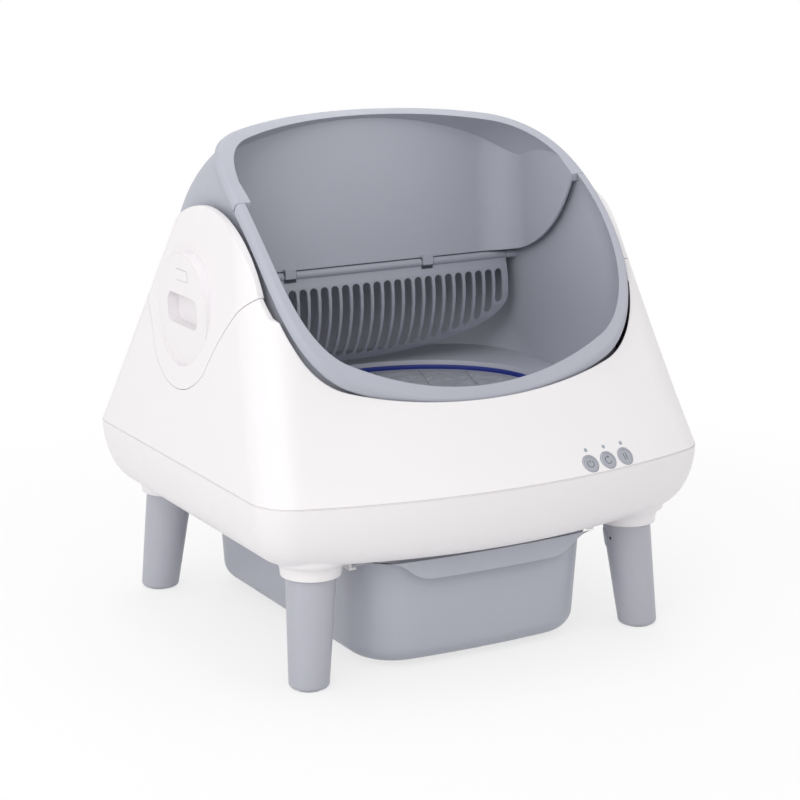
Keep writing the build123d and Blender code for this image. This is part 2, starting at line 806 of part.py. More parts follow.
bed_deck.part.label = "bed_deck"
export_step(bed_deck.part, "parts/bed_deck.step")

# Liner hoop: the piped band that holds the liner's edge in the deck
with BuildPart() as liner_hoop:
    with BuildSketch(Plane.XY.offset(deck_z - hoop_drop)):
        with Locations((0, liner_y)):
            Ellipse(liner_half_x, liner_half_y)
            Ellipse(liner_half_x - hoop_section, liner_half_y - hoop_section, mode=Mode.SUBTRACT)
    extrude(amount=hoop_section)
    chamfer(liner_hoop.faces().sort_by(Axis.Z)[-1].edges(), hoop_section / 3)
liner_hoop.part.label = "liner_hoop"
export_step(liner_hoop.part, "parts/liner_hoop.step")

# Bed liner: the fabric dish that hangs from the hoop
liner_edge_x = liner_half_x - hoop_ledge - fit_gap
liner_edge_y = liner_half_y - hoop_ledge - fit_gap
liner_rings = ((1.0, 0.0), (0.86, 0.55), (0.6, 0.9), (0.3, 1.0))
with BuildPart() as bed_liner:
    for share, fall in liner_rings:
        with BuildSketch(Plane.XY.offset(deck_z - hoop_drop - fall * liner_sag)):
            with Locations((0, liner_y)):
                Ellipse(share * liner_edge_x, share * liner_edge_y)
    loft()
bed_liner.part.label = "bed_liner"
export_step(bed_liner.part, "parts/bed_liner.step")

# Trunnions: the stub axles on the ends of the drum
trunnion_end_x = frame_x + frame_thickness + bush_proud + trunnion_proud
for name, side in (("left", -1), ("right", 1)):
    with BuildPart() as trunnion:
        with BuildSketch(Plane.YZ.offset(side * drum_half)):
            with Locations((axis_y, axis_z)):
                Circle(trunnion_flange)
        extrude(amount=side * trunnion_flange_thickness)
        with BuildSketch(Plane.YZ.offset(side * drum_half)):
            with Locations((axis_y, axis_z)):
                Circle(trunnion_radius)
        extrude(amount=side * (trunnion_end_x - drum_half))
        chamfer(trunnion.faces().sort_by(Axis.X)[-1 if side > 0 else 0].edges(), trunnion_chamfer)
    trunnion.part.label = "trunnion_" + name
    export_step(trunnion.part, "parts/trunnion_" + name + ".step")

# Side frames: upright plates on the tray floor that carry the bushes
pinion_radius = gear_module * pinion_teeth / 2
gear_radius = gear_module * gear_teeth / 2
pinion_y = axis_y + (gear_radius + pinion_radius) * cos(radians(pinion_angle))
pinion_z = axis_z + (gear_radius + pinion_radius) * sin(radians(pinion_angle))
for name, side in (("left", -1), ("right", 1)):
    with BuildPart() as side_frame:
        with BuildSketch(Plane.YZ.offset(side * frame_x)):
            with BuildLine():
                head_front = (axis_y - frame_head, axis_z)
                head_back = (axis_y + frame_head, axis_z)
                foot_front = (frame_foot_front, tray_floor_z)
                foot_back = (frame_foot_back, tray_floor_z)
                ThreePointArc(head_front, (axis_y, axis_z + frame_head), head_back)
                Line(head_back, foot_back)
                Line(foot_back, foot_front)
                Line(foot_front, head_front)
            make_face()
            with Locations((axis_y, axis_z)):
                Circle(trunnion_radius + bearing_gap + bush_wall, mode=Mode.SUBTRACT)
            with Locations((pinion_y, pinion_z)):
                Circle(motor_shaft_radius + bearing_gap, mode=Mode.SUBTRACT)
            with Locations((axis_y - frame_head / 2, (axis_z + tray_floor_z) / 2)):
                SlotOverall(2 * frame_head, frame_head / 2, rotation=90, mode=Mode.SUBTRACT)
        extrude(amount=side * frame_thickness)
    side_frame.part.label = "side_frame_" + name
    export_step(side_frame.part, "parts/side_frame_" + name + ".step")

    with BuildPart() as drum_bush:
        with BuildSketch(Plane.YZ.offset(side * (frame_x - bush_proud))):
            with Locations((axis_y, axis_z)):
                Circle(trunnion_radius + bearing_gap + bush_wall)
                Circle(trunnion_radius + bearing_gap, mode=Mode.SUBTRACT)
        extrude(amount=side * (frame_thickness + 2 * bush_proud))
    drum_bush.part.label = "drum_bush_" + name
    export_step(drum_bush.part, "parts/drum_bush_" + name + ".step")


def gear_face(teeth, first_angle):
    """Outline points of a spur gear with straight-flanked teeth, the first centred on an angle."""
    pitch_radius = gear_module * teeth / 2
    half_tooth = tooth_share * pi * gear_module / 2
    flank = tan(radians(pressure_angle))
    root = pitch_radius - tooth_height - tooth_clear
    tip = pitch_radius + tooth_height
    corners = (
        (root, -half_tooth - flank * (tooth_height + tooth_clear)),
        (tip, -half_tooth + flank * tooth_height),
        (tip, half_tooth - flank * tooth_height),
        (root, half_tooth + flank * (tooth_height + tooth_clear)),
    )
    points = []
    for i in range(teeth):
        turn = radians(first_angle) + 2 * pi * i / teeth
        for radius, aside in corners:
            points.append((radius * cos(turn + aside / radius), radius * sin(turn + aside / radius)))
    return points


# Ring gear on the right end of the drum
with BuildPart() as ring_gear:
    with BuildSketch(Plane(origin=(drum_half, axis_y, axis_z), x_dir=(0, 1, 0), z_dir=(1, 0, 0))):
        with BuildLine():
            Polyline(*gear_face(gear_teeth, pinion_angle), close=True)
        make_face()
        Circle(gear_radius - gear_rim, mode=Mode.SUBTRACT)
    extrude(amount=gear_width)
ring_gear.part.label = "ring_gear"
export_step(ring_gear.part, "parts/ring_gear.step")

# Drive pinion on the shaft of the gear motor
shaft_end_x = frame_x + frame_thickness + fit_gap + motor_depth / 2
pinion_origin = (drum_half + fit_gap, pinion_y, pinion_z)
with BuildPart() as drive_pinion:
    with BuildSketch(Plane(origin=pinion_origin, x_dir=(0, 1, 0), z_dir=(1, 0, 0))):
        with BuildLine():
            Polyline(*gear_face(pinion_teeth, pinion_angle + 180 + 180 / pinion_teeth), close=True)
        make_face()
    extrude(amount=gear_width - fit_gap)
    with BuildSketch(Plane.YZ.offset(drum_half + gear_width / 2)):
        with Locations((pinion_y, pinion_z)):
            Circle(motor_shaft_radius)
    extrude(amount=shaft_end_x - drum_half - gear_width / 2)
drive_pinion.part.label = "drive_pinion"
export_step(drive_pinion.part, "parts/drive_pinion.step")

# Gear motor on the outside of the right frame
motor_x = frame_x + frame_thickness
with BuildPart() as gear_motor:
    with BuildSketch(Plane.YZ.offset(motor_x)) as motor_outline:
        with Locations((pinion_y - motor_height / 2, pinion_z)):
            Rectangle(motor_length, motor_height, align=(Align.MIN, Align.CENTER))
        fillet(motor_outline.vertices(), motor_corner)
    extrude(amount=motor_depth)
    chamfer(gear_motor.faces().sort_by(Axis.X)[-1].edges(), motor_round)
    with BuildSketch(Plane.YZ.offset(motor_x)):
        with Locations((pinion_y, pinion_z)):
            Circle(motor_shaft_radius + bearing_gap)
    extrude(amount=shaft_end_x - motor_x + fit_gap, mode=Mode.SUBTRACT)
gear_motor.part.label = "gear_motor"
export_step(gear_motor.part, "parts/gear_motor.step")

# Buttons: round caps in the front of the housing, each with a shallow dish
for i, place in enumerate(button_places):
    with BuildPart() as button:
        with BuildSketch(place.offset(button_proud)):
            Circle(button_radius)
        extrude(amount=-button_depth)
        chamfer(button.faces().sort_by(Axis(place.origin, place.z_dir))[-1].edges(), button_round)
        with BuildSketch(place.offset(button_proud)):
            Circle(button_radius - button_rim)
        extrude(amount=-button_dish, mode=Mode.SUBTRACT)
    button.part.label = "button_" + str(i + 1)
    export_step(button.part, "parts/button_" + str(i + 1) + ".step")

# Light pipes above the buttons
with BuildPart() as light_pipes:
    for place in light_places:
        with BuildSketch(place.offset(light_proud)):
            Circle(light_radius)
        extrude(amount=-light_depth)
light_pipes.part.label = "light_pipes"
export_step(light_pipes.part, "parts/light_pipes.step")

# Control board behind the buttons, on the posts of the housing
with BuildPart() as control_board:
    with BuildSketch(board_face):
        RectangleRounded(board_length, board_height, board_corner)
    extrude(amount=-board_thickness)
control_board.part.label = "control_board"
export_step(control_board.part, "parts/control_board.step")

# Legs: tapered, splayed and plugged into the collars, each on a soft pad
for name, (side, leg_y) in leg_places.items():
    foot = leg_centre(side, leg_y, 0)
    head = leg_centre(side, leg_y, leg_top_z)
    with BuildPart() as leg:
        with BuildSketch(Plane.XY.offset(pad_proud)):
            with Locations(foot):
                Circle(leg_foot_radius)
        with BuildSketch(Plane.XY.offset(leg_top_z)):
            with Locations(head):
                Circle(leg_top_radius)
        loft()
        fillet(leg.faces().sort_by(Axis.Z)[0].edges(), leg_round)
        with BuildSketch(Plane.XY.offset(leg_top_z)):
            with Locations(head):
                Circle(spigot_radius)
        extrude(amount=spigot_height)
        with BuildSketch(Plane.XY.offset(pad_proud)):
            with Locations(foot):
                Circle(pad_radius + fit_gap)
        extrude(amount=pad_thickness - pad_proud, mode=Mode.SUBTRACT)
    leg.part.label = "leg_" + name
    export_step(leg.part, "parts/leg_" + name + ".step")

    with BuildPart() as foot_pad:
        with BuildSketch(Plane.XY):
            with Locations(foot):
                Circle(pad_radius)
        extrude(amount=pad_thickness)
        chamfer(foot_pad.faces().sort_by(Axis.Z)[0].edges(), pad_proud / 2)
    foot_pad.part.label = "foot_pad_" + name
    export_step(foot_pad.part, "parts/foot_pad_" + name + ".step")


def drawer_section(level, inset):
    """Plan of the drawer at a height: round corners, a bowed front and walls with draft."""
    draft = drawer_draft * (drawer_rim_z - level) / (drawer_rim_z - drawer_floor_z)
    half = drawer_half - draft - inset
    front = drawer_front_y + draft + inset
    back = drawer_back_y - draft - inset
    with BuildSketch(Plane.XY.offset(level)) as section:
        with BuildLine():
            ThreePointArc((-half, front), (0, front - drawer_bow), (half, front))
            Line((half, front), (half, back))
            Line((half, back), (-half, back))
            Line((-half, back), (-half, front))
        make_face()
        fillet(section.vertices(), drawer_corner - inset)
    return section.sketch


# Waste drawer: a deep tub whose side flanges ride in the rails
flange_z = drawer_rim_z - flange_thickness
with BuildPart() as drawer_inside:
    loft(sections=[drawer_section(z, drawer_wall) for z in (drawer_floor_z + drawer_wall, drawer_rim_z)])
    fillet(drawer_inside.faces().sort_by(Axis.Z)[0].edges(), drawer_round - drawer_wall)
with BuildPart() as waste_drawer:
    loft(sections=[drawer_section(drawer_floor_z, 0), drawer_section(drawer_rim_z, 0)])
    fillet(waste_drawer.faces().sort_by(Axis.Z)[0].edges(), drawer_round)
    with BuildSketch(Plane.XY.offset(flange_z)):
        with Locations((0, (rail_front_y + rail_back_y) / 2)):
            Rectangle(2 * (drawer_half + flange_reach), rail_back_y - rail_front_y)
    extrude(amount=flange_thickness)
    add(drawer_inside.part, mode=Mode.SUBTRACT)
waste_drawer.part.label = "waste_drawer"
export_step(waste_drawer.part, "parts/waste_drawer.step")

# Drawer handle: a flared pull lip with a finger trough, swept up at both ends
bow_radius = (drawer_half**2 + drawer_bow**2) / (2 * drawer_bow)
bow_centre_y = drawer_front_y - drawer_bow + bow_radius
handle_turn = degrees(asin(handle_half / bow_radius))
start = radians(-90 - handle_turn)
handle_plane = Plane(
    origin=(0, bow_centre_y, 0),
    x_dir=(cos(start), sin(start), 0),
    z_dir=(sin(start), -cos(start), 0),
)
handle_back = bow_radius + fit_gap
ridge_z = handle_top_z - handle_trough
handle_foot_z = handle_top_z - handle_height
with BuildPart() as handle_front:
    with BuildSketch(Plane.XZ):
        with BuildLine():
            sweep_start = (-handle_half, ridge_z)
            sweep_end = (handle_sweep - handle_half, handle_foot_z)
            sweep_in = (handle_sweep / 2 - handle_half, ridge_z)
            sweep_out = (handle_sweep / 2 - handle_half, handle_foot_z)
            Bezier(sweep_start, sweep_in, sweep_out, sweep_end)
            Line(sweep_end, (-sweep_end[0], handle_foot_z))
            right_end = [(-x, z) for x, z in (sweep_end, sweep_out, sweep_in, sweep_start)]
            Bezier(*right_end)
            Line((handle_half, ridge_z), (handle_half, 2 * handle_top_z))
            Line((handle_half, 2 * handle_top_z), (-handle_half, 2 * handle_top_z))
            Line((-handle_half, 2 * handle_top_z), sweep_start)
        make_face()
    extrude(amount=reach)
with BuildPart() as drawer_handle:
    with BuildSketch(handle_plane):
        with BuildLine():
            inner_top = (handle_back, handle_top_z)
            outer_top = (handle_back + handle_wall, handle_top_z)
            trough = (handle_back + trough_share * handle_reach, ridge_z - handle_wall / 3)
            ridge = (handle_back + handle_reach, ridge_z)
            outer_foot = (handle_back + handle_reach - handle_lean, handle_foot_z)
            inner_foot = (outer_foot[0] - handle_wall, handle_foot_z)
            under_ridge = (ridge[0] - 2 * handle_wall, ridge_z - 2 * handle_wall)
            web_top = (handle_back + handle_wall, ridge_z - 2 * handle_wall)
            web_foot = (handle_back + handle_wall, drawer_rim_z - handle_web)
            web_back = (handle_back, drawer_rim_z - handle_web)
            Line(inner_top, outer_top)
            ThreePointArc(outer_top, trough, ridge)
            Polyline(ridge, outer_foot, inner_foot, under_ridge, web_top, web_foot, web_back, inner_top)
        make_face()
    revolve(axis=Axis((0, bow_centre_y, 0), (0, 0, 1)), revolution_arc=2 * handle_turn)
    add(handle_front.part, mode=Mode.INTERSECT)
drawer_handle.part.label = "drawer_handle"
export_step(drawer_handle.part, "parts/drawer_handle.step")

# Drawer rails: C channels below the tray that hold the drawer's flanges
rail_web_x = drawer_half + flange_reach + fit_gap
rail_inner_x = drawer_half + rail_side_gap
rail_slot_z = flange_z - fit_gap
for name, side in (("left", -1), ("right", 1)):
    with BuildPart() as drawer_rail:
        with BuildSketch(Plane.XZ.offset(-rail_front_y)):
            with BuildLine():
                Polyline(
                    (side * rail_inner_x, rail_slot_z),
                    (side * rail_web_x, rail_slot_z),
                    (side * rail_web_x, tray_bottom_z - rail_wall),
                    (side * rail_inner_x, tray_bottom_z - rail_wall),
                    (side * rail_inner_x, tray_bottom_z),
                    (side * (rail_web_x + rail_wall), tray_bottom_z),
                    (side * (rail_web_x + rail_wall), rail_slot_z - rail_wall),
                    (side * rail_inner_x, rail_slot_z - rail_wall),
                    close=True,
                )
            make_face()
        extrude(amount=rail_front_y - rail_back_y)
    drawer_rail.part.label = "drawer_rail_" + name
    export_step(drawer_rail.part, "parts/drawer_rail_" + name + ".step")

# Power inlet: a round low-voltage socket in the back of the tray
with BuildPart() as power_inlet:
    with BuildSketch(Plane.XZ.offset(-back_corner_y)):
        with Locations((inlet_x, inlet_z)):
            Circle(inlet_radius)
    extrude(amount=inlet_depth + inlet_wall)
    with BuildSketch(Plane.XZ.offset(-back_corner_y)):
        with Locations((inlet_x, inlet_z)):
            Circle(inlet_bore)
    extrude(amount=inlet_depth, mode=Mode.SUBTRACT)
power_inlet.part.label = "power_inlet"
export_step(power_inlet.part, "parts/power_inlet.step")

# Tray screws: pan heads below the tray that clamp the side frames
with BuildPart() as tray_screws:
    for side in (-1, 1):
        for screw_y in (frame_foot_front + screw_inset, frame_foot_back - screw_inset):
            with BuildSketch(Plane.XY.offset(tray_bottom_z)):
                with Locations((side * (frame_x + frame_thickness / 2), screw_y)):
                    Circle(screw_head_radius)
            extrude(amount=-screw_head_height)
            with BuildSketch(Plane.XY.offset(tray_bottom_z - screw_head_height)):
                with Locations((side * (frame_x + frame_thickness / 2), screw_y)):
                    RegularPolygon(screw_socket_radius, 6)
            extrude(amount=screw_head_height / 2, mode=Mode.SUBTRACT)
tray_screws.part.label = "tray_screws"
export_step(tray_screws.part, "parts/tray_screws.step")
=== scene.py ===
import json
import math

import bpy
from mathutils import Matrix, Vector, noise


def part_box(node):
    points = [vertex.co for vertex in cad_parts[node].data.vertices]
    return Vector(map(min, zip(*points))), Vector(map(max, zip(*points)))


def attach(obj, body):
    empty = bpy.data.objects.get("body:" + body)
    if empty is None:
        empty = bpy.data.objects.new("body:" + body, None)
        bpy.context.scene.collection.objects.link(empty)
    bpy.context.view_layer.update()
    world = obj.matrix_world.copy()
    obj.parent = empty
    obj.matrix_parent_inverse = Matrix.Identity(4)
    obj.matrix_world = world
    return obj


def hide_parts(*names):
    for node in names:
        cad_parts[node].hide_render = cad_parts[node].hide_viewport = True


# Self-cleaning litter box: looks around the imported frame. Metres, +Z up, the front faces -Y.
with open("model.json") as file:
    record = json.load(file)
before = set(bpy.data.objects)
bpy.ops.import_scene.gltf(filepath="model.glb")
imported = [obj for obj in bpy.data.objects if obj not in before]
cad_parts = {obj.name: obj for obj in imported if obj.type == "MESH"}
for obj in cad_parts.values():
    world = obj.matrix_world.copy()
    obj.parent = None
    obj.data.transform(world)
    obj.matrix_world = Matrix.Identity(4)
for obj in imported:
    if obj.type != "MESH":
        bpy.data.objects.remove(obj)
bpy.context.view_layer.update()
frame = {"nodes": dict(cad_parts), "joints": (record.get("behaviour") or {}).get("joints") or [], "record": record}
nodes = frame["nodes"]
MM = 0.001

# Camera at the photograph's viewing angle
view_turn = math.radians(-29.3)
view_rise = math.radians(14.1)
view_distance = 2.836
view_target = Vector((0.0094, 0.0210, 0.2512))
view_lens = 108.0
view_limit = 50.0
sensor_width = 36.0

# Floor and world: the floor turns plain white between two distances from the object
world_strength = 0.70
floor_half = 6.0
floor_colour = (0.86, 0.86, 0.86, 1)
floor_rough = 0.9
shadow_reach = (0.45, 1.15)
shadow_share = 0.72

# Soft boxes: name, place, size and energy, all aimed at the object's middle
lamp_target = Vector((0.0, 0.0, 0.35))
lamps = (
    ("key", (-2.0, -1.9, 2.0), 1.8, 28.0),
    ("side", (-2.6, -0.5, 0.9), 1.6, 10.0),
    ("fill", (2.4, -1.6, 1.2), 2.2, 7.0),
    ("top", (0.0, 0.3, 2.8), 2.0, 17.0),
    ("rim", (1.2, 2.4, 1.6), 1.6, 10.0),
)

# Colours, linear
white_plastic = (0.800, 0.775, 0.790)
grey_plastic = (0.412, 0.424, 0.484)
grey_light = (0.418, 0.424, 0.474)
grey_dark = (0.350, 0.362, 0.415)
button_grey = (0.365, 0.375, 0.425)
mark_grey = (0.105, 0.108, 0.130)
fabric_grey = (0.300, 0.311, 0.352)
seam_grey = (0.150, 0.155, 0.178)
band_blue = (0.008, 0.022, 0.205)
steel_grey = (0.52, 0.53, 0.54)
acetal_white = (0.70, 0.69, 0.63)
motor_black = (0.022, 0.022, 0.024)
board_green = (0.010, 0.075, 0.032)
light_grey = (0.320, 0.370, 0.420)
rubber_grey = (0.060, 0.061, 0.066)
# Painted shade: near-black for flat pads that stand for the dark inside of gaps, holes and slits
painted_shade_black = (0.016, 0.016, 0.018)

# Moulded plastic: uneven gloss, depth of the grain, and the clear skin on top
gloss_spread = 0.05
grain_depth = 0.08 * MM
plastic_ior = 1.48
coat_rough = 0.25

# Drawn metal: fine lines along one axis, in colour, gloss and bump
line_density = 1800.0
line_stretch = (1.0, 0.04, 1.0)
line_drift = 0.10
line_gloss = 0.08
line_depth = 0.05 * MM

# Cloth: a wave texture's radians in a metre at scale 1, each cloth's length of a radian, the finish
wave_radians = 20.0
band_radian = 0.6 * MM
fabric_radian = 0.5 * MM
seam_radian = 0.4 * MM
wave_wander = 0.6
cloth_drift = 0.16
cloth_gloss = (0.42, 0.62)
cloth_depth = 0.12 * MM
sheen_rough = 0.45

# Front lip of the drum: the mouth that it follows, and how far it is set down along the wall
mouth_y = 222.0 * MM
mouth_z = 135.0 * MM
mouth_radius = 457.6 * MM
notch_y = -36.0 * MM
lip_lower = math.radians(3.1)
lip_depth = 12.0 * MM
lip_blend = 80.0 * MM
lip_run = 120.0 * MM

# Drawer handle: the axis of the drawer's bowed front, and how much the pull lip grows
bow_y = 932.0 * MM
handle_spread = 1.05
handle_lift = 4.5 * MM
handle_rise = 19.0 * MM

# Fabric liner: mesh, sag, how fast it comes free of the hoop, and its flat area over the oval's
liner_rings = 60
liner_spokes = 320
liner_sag = 6.0 * MM
liner_free = 9.0

# Liner's panels and creases: the billow between seams, and a coarse and a fine crinkle
liner_billow = 1.6 * MM
billow_power = 0.6
liner_crease = 2.0 * MM
crease_pitch = 16.0 * MM
crease_level = 0.6
coarse_share = 2.0
coarse_stretch = 1.4
coarse_layer = 0.7
fine_share = 0.35
fine_stretch = 0.7
fine_layer = 4.2
fine_density = 2.3

# Liner's seams: their spacing and lean, and the section of the strip as a share across and a height
seam_pitch = 57.0 * MM
seam_start = -10.0 * MM
seam_lean = 0.3
seam_half = 0.7 * MM
seam_steps = 150
seam_reach = 0.975
seam_section = ((-1, 0.05 * MM), (-0.6, 0.45 * MM), (0.6, 0.45 * MM), (1, 0.05 * MM))

# Marks on the buttons, in a dished face
mark_size = 4.2 * MM
mark_steps = 32
mark_half = 0.45 * MM
mark_height = 0.25 * MM
mark_section = ((-1, 0.0), (-0.7, mark_height), (0.7, mark_height), (1, 0.0))
dish_depth = 0.6 * MM
button_bodies = {"button_1": "button_a", "button_2": "button_b", "button_3": "button_c"}

# Leg collars: radius and height of the flare, then where it bends, meets the tray and sinks in
corners = ("front_left", "front_right", "back_left", "back_right")
collar_turns = 120
collar_flare = (
    (33.7 * MM, 126.0 * MM),
    (34.1 * MM, 131.5 * MM),
    (35.3 * MM, 136.0 * MM),
    (37.6 * MM, 139.4 * MM),
    (41.9 * MM, 142.1 * MM),
)
collar_bend = 42.4 * MM
collar_bend_share = 0.55
collar_meet = 43.6 * MM
collar_meet_sink = 0.05 * MM
collar_end = 46.0 * MM
collar_end_sink = 0.5 * MM

# Tray's underside: the height to look up from, and its height where nothing is met
probe_level = 100.0 * MM
tray_level = 150.0 * MM

# Leg details: heights, and the ways that the catch and the pin hole face, inwards and along Y
leg_middle_y = 20.0 * MM
top_band = 0.1 * MM
catch_level = 105.0 * MM
hole_level = 107.0 * MM
slit_level = 33.0 * MM
catch_way = (0.96, 0.26)
hole_way = (0.975, -0.22)

# Pads on a skin: mesh, roundness of the outline and of the edge, and how far the rim sinks in
patch_rings = 10
patch_turns = 40
patch_corner = 0.7
patch_edge = 6
patch_sink = 0.05 * MM
patch_probe = 60.0 * MM

# Bead in the parting line: inset and height of its section, and where the tray's skin is found
bead_turns = 720
bead_section = ((0.95 * MM, -1.5 * MM), (0.50 * MM, -0.6 * MM), (0.95 * MM, 0.3 * MM))
bead_probe_drop = 1.6 * MM
bead_probe_out = 600.0 * MM


def node_tree(name):
    """A new material with its node tree and its Principled shader."""
    material = bpy.data.materials.new(name)
    material.use_nodes = True
    tree = material.node_tree
    return material, tree, tree.nodes["Principled BSDF"]


def add_node(tree, kind, **values):
    """A node of a kind, with properties and input values by name."""
    node = tree.nodes.new(kind)
    for key, value in values.items():
        if key in node.inputs:
            node.inputs[key].default_value = value
        else:
            setattr(node, key, value)
    return node


def joined(tree, operation, first, second):
    """Two values through a Math node."""
    node = add_node(tree, "ShaderNodeMath", operation=operation)
    tree.links.new(first, node.inputs[0])
    tree.links.new(second, node.inputs[1])
    return node.outputs["Value"]


def spread(tree, source, start, end, low, high, kind="LINEAR"):
    """A value between start and end, spread over low to high."""
    node = add_node(tree, "ShaderNodeMapRange", interpolation_type=kind)
    for key, value in (("From Min", start), ("From Max", end), ("To Min", low), ("To Max", high)):
        node.inputs[key].default_value = value
    tree.links.new(source, node.inputs["Value"])
    return node.outputs["Result"]


def varied(tree, source, low, high):
    """A noise value, which lies mostly between 0.3 and 0.7, spread over a range."""
    return spread(tree, source, 0.3, 0.7, low, high)


def object_noise(tree, scale, detail, roughness=0.5):
    """Noise in the object's own metres."""
    place = tree.nodes.new("ShaderNodeTexCoord")
    pattern = add_node(tree, "ShaderNodeTexNoise", Scale=scale, Detail=detail, Roughness=roughness)
    tree.links.new(place.outputs["Object"], pattern.inputs["Vector"])
    return pattern.outputs["Fac"]


def tinted(tree, colour, amount, factor):
    """A colour that drifts lighter and darker by a small amount."""
    blend = add_node(tree, "ShaderNodeMix", data_type="RGBA")
    dark, light = [socket for socket in blend.inputs if socket.type == "RGBA"]
    dark.default_value = (*[c * (1 - amount) for c in colour], 1)
    light.default_value = (*[min(c * (1 + amount), 1) for c in colour], 1)
    tree.links.new(factor, blend.inputs["Factor"])
    return next(out for out in blend.outputs if out.type == "RGBA")


def grain(tree, shader, height, strength, depth, edge=0.0):
    """Fine bump on the shader, over edges that are softened by a radius."""
    bump = add_node(tree, "ShaderNodeBump", Strength=strength, Distance=depth)
    tree.links.new(height, bump.inputs["Height"])
    if edge:
        soft = add_node(tree, "ShaderNodeBevel", samples=4, Radius=edge)
        tree.links.new(soft.outputs["Normal"], bump.inputs["Normal"])
    tree.links.new(bump.outputs["Normal"], shader.inputs["Normal"])


def moulded(
    name, colour, rough, fineness=1300.0, strength=0.10, edge=1.0 * MM, coat=0.0, drift=0.03
):
    """Moulded plastic: slow colour drift, fine spark-eroded grain and uneven gloss."""
    material, tree, shader = node_tree(name)
    slow = object_noise(tree, scale=9.0, detail=2.0)
    patchy = object_noise(tree, scale=38.0, detail=3.0)
    fine = object_noise(tree, scale=fineness, detail=2.0)
    gloss = varied(tree, patchy, rough - gloss_spread, rough + gloss_spread)
    tree.links.new(tinted(tree, colour, drift, slow), shader.inputs["Base Color"])
    tree.links.new(gloss, shader.inputs["Roughness"])
    grain(tree, shader, fine, strength, grain_depth, edge)
    shader.inputs["Coat Weight"].default_value = coat
    shader.inputs["Coat Roughness"].default_value = coat_rough
    shader.inputs["IOR"].default_value = plastic_ior
    return material


def metal(name, colour, rough):
    """Rolled metal with fine drawn lines."""
    material, tree, shader = node_tree(name)
    place = tree.nodes.new("ShaderNodeTexCoord")
    stretch = add_node(tree, "ShaderNodeMapping", Scale=line_stretch)
    lines = add_node(tree, "ShaderNodeTexNoise", Scale=line_density, Detail=2.0)
    tree.links.new(place.outputs["Object"], stretch.inputs["Vector"])
    tree.links.new(stretch.outputs["Vector"], lines.inputs["Vector"])
    gloss = varied(tree, lines.outputs["Fac"], rough - line_gloss, rough + line_gloss)
    tint = tinted(tree, colour, line_drift, lines.outputs["Fac"])
    tree.links.new(tint, shader.inputs["Base Color"])
    tree.links.new(gloss, shader.inputs["Roughness"])
    grain(tree, shader, lines.outputs["Fac"], strength=0.12, depth=line_depth, edge=0.3 * MM)
    shader.inputs["Metallic"].default_value = 1.0
    return material


def woven(name, colour, radian, sheen):
    """Plain-weave cloth: crossing threads in bump, slow colour drift and a soft sheen."""
    material, tree, shader = node_tree(name)
    place = tree.nodes.new("ShaderNodeTexCoord")
    heights = []
    for direction in ("X", "Y"):
        threads = add_node(tree, "ShaderNodeTexWave", wave_type="BANDS", bands_direction=direction)
        threads.inputs["Scale"].default_value = 1.0 / (radian * wave_radians)
        threads.inputs["Distortion"].default_value = wave_wander
        threads.inputs["Detail Scale"].default_value = 2.0
        tree.links.new(place.outputs["Object"], threads.inputs["Vector"])
        heights.append(threads.outputs["Fac"])
    weave = joined(tree, "MULTIPLY", heights[0], heights[1])
    slow = object_noise(tree, scale=26.0, detail=4.0, roughness=0.6)
    tree.links.new(tinted(tree, colour, cloth_drift, slow), shader.inputs["Base Color"])
    tree.links.new(varied(tree, slow, *cloth_gloss), shader.inputs["Roughness"])
    grain(tree, shader, weave, strength=0.35, depth=cloth_depth)
    shader.inputs["Sheen Weight"].default_value = sheen
    shader.inputs["Sheen Roughness"].default_value = sheen_rough
    return material


# White plastic has a finer, weaker grain under a thin gloss
white_finish = {"fineness": 1500.0, "strength": 0.06, "coat": 0.10, "drift": 0.012}
looks = {
    "white_shell": moulded("white_shell", white_plastic, 0.46, edge=1.0 * MM, **white_finish),
    "white_tab": moulded("white_tab", white_plastic, 0.34, edge=0.4 * MM, **white_finish),
    "grey_shell": moulded("grey_shell", grey_plastic, 0.52, edge=1.2 * MM),
    "grey_sieve": moulded("grey_sieve", grey_dark, 0.44, edge=0.9 * MM),
    "grey_leg": moulded("grey_leg", grey_light, 0.40),
    "grey_drawer": moulded("grey_drawer", grey_plastic, 0.40),
    "grey_button": moulded("grey_button", button_grey, 0.38, 2200.0, 0.08, 0.4 * MM),
    "blue_band": woven("blue_band", band_blue, band_radian, sheen=0.04),
    "steel": metal("steel", steel_grey, 0.34),
    "bearing_plastic": moulded("bearing_plastic", acetal_white, 0.46, 1600.0, 0.10, 0.4 * MM),
    "motor_black": moulded("motor_black", motor_black, 0.48, 1100.0, 0.22, 0.6 * MM),
    "board_green": moulded("board_green", board_green, 0.30, 700.0, 0.15, 0.2 * MM),
    "light_clear": moulded("light_clear", light_grey, 0.18, 1800.0, 0.03, 0.2 * MM, coat=0.4),
    "foot_rubber": moulded("foot_rubber", rubber_grey, 0.72, 900.0, 0.35, 0.4 * MM),
}
fabric = woven("liner_fabric", fabric_grey, fabric_radian, sheen=0.12)
seam_cloth = woven("liner_seam", seam_grey, seam_radian, sheen=0.10)
# Painted shade for the dark inside of the legs' gaps, holes and slits
painted_recess_shade = moulded("painted_recess_shade", painted_shade_black, 0.60, 1100.0, 0.10, 0.0)
mark_paint = moulded("button_mark", mark_grey, 0.50, 2200.0, 0.06, 0.0)
for entry in frame["record"]["subparts"]:
    look = looks.get(entry["material_slot"])
    if look:
        slots = nodes[entry["node"]].data.materials
        slots.clear()
        slots.append(look)


def placed(name, mesh, body):
    """A new object that rides on a body."""
    piece = bpy.data.objects.new(name, mesh)
    bpy.context.collection.objects.link(piece)
    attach(piece, body)
    return piece


def mesh_piece(name, verts, faces, material, body, smooth=True):
    """A new piece from points and faces."""
    mesh = bpy.data.meshes.new(name)
    mesh.from_pydata(verts, [], faces)
    mesh.materials.append(material)
    for face in mesh.polygons:
        face.use_smooth = smooth
    return placed(name, mesh, body)


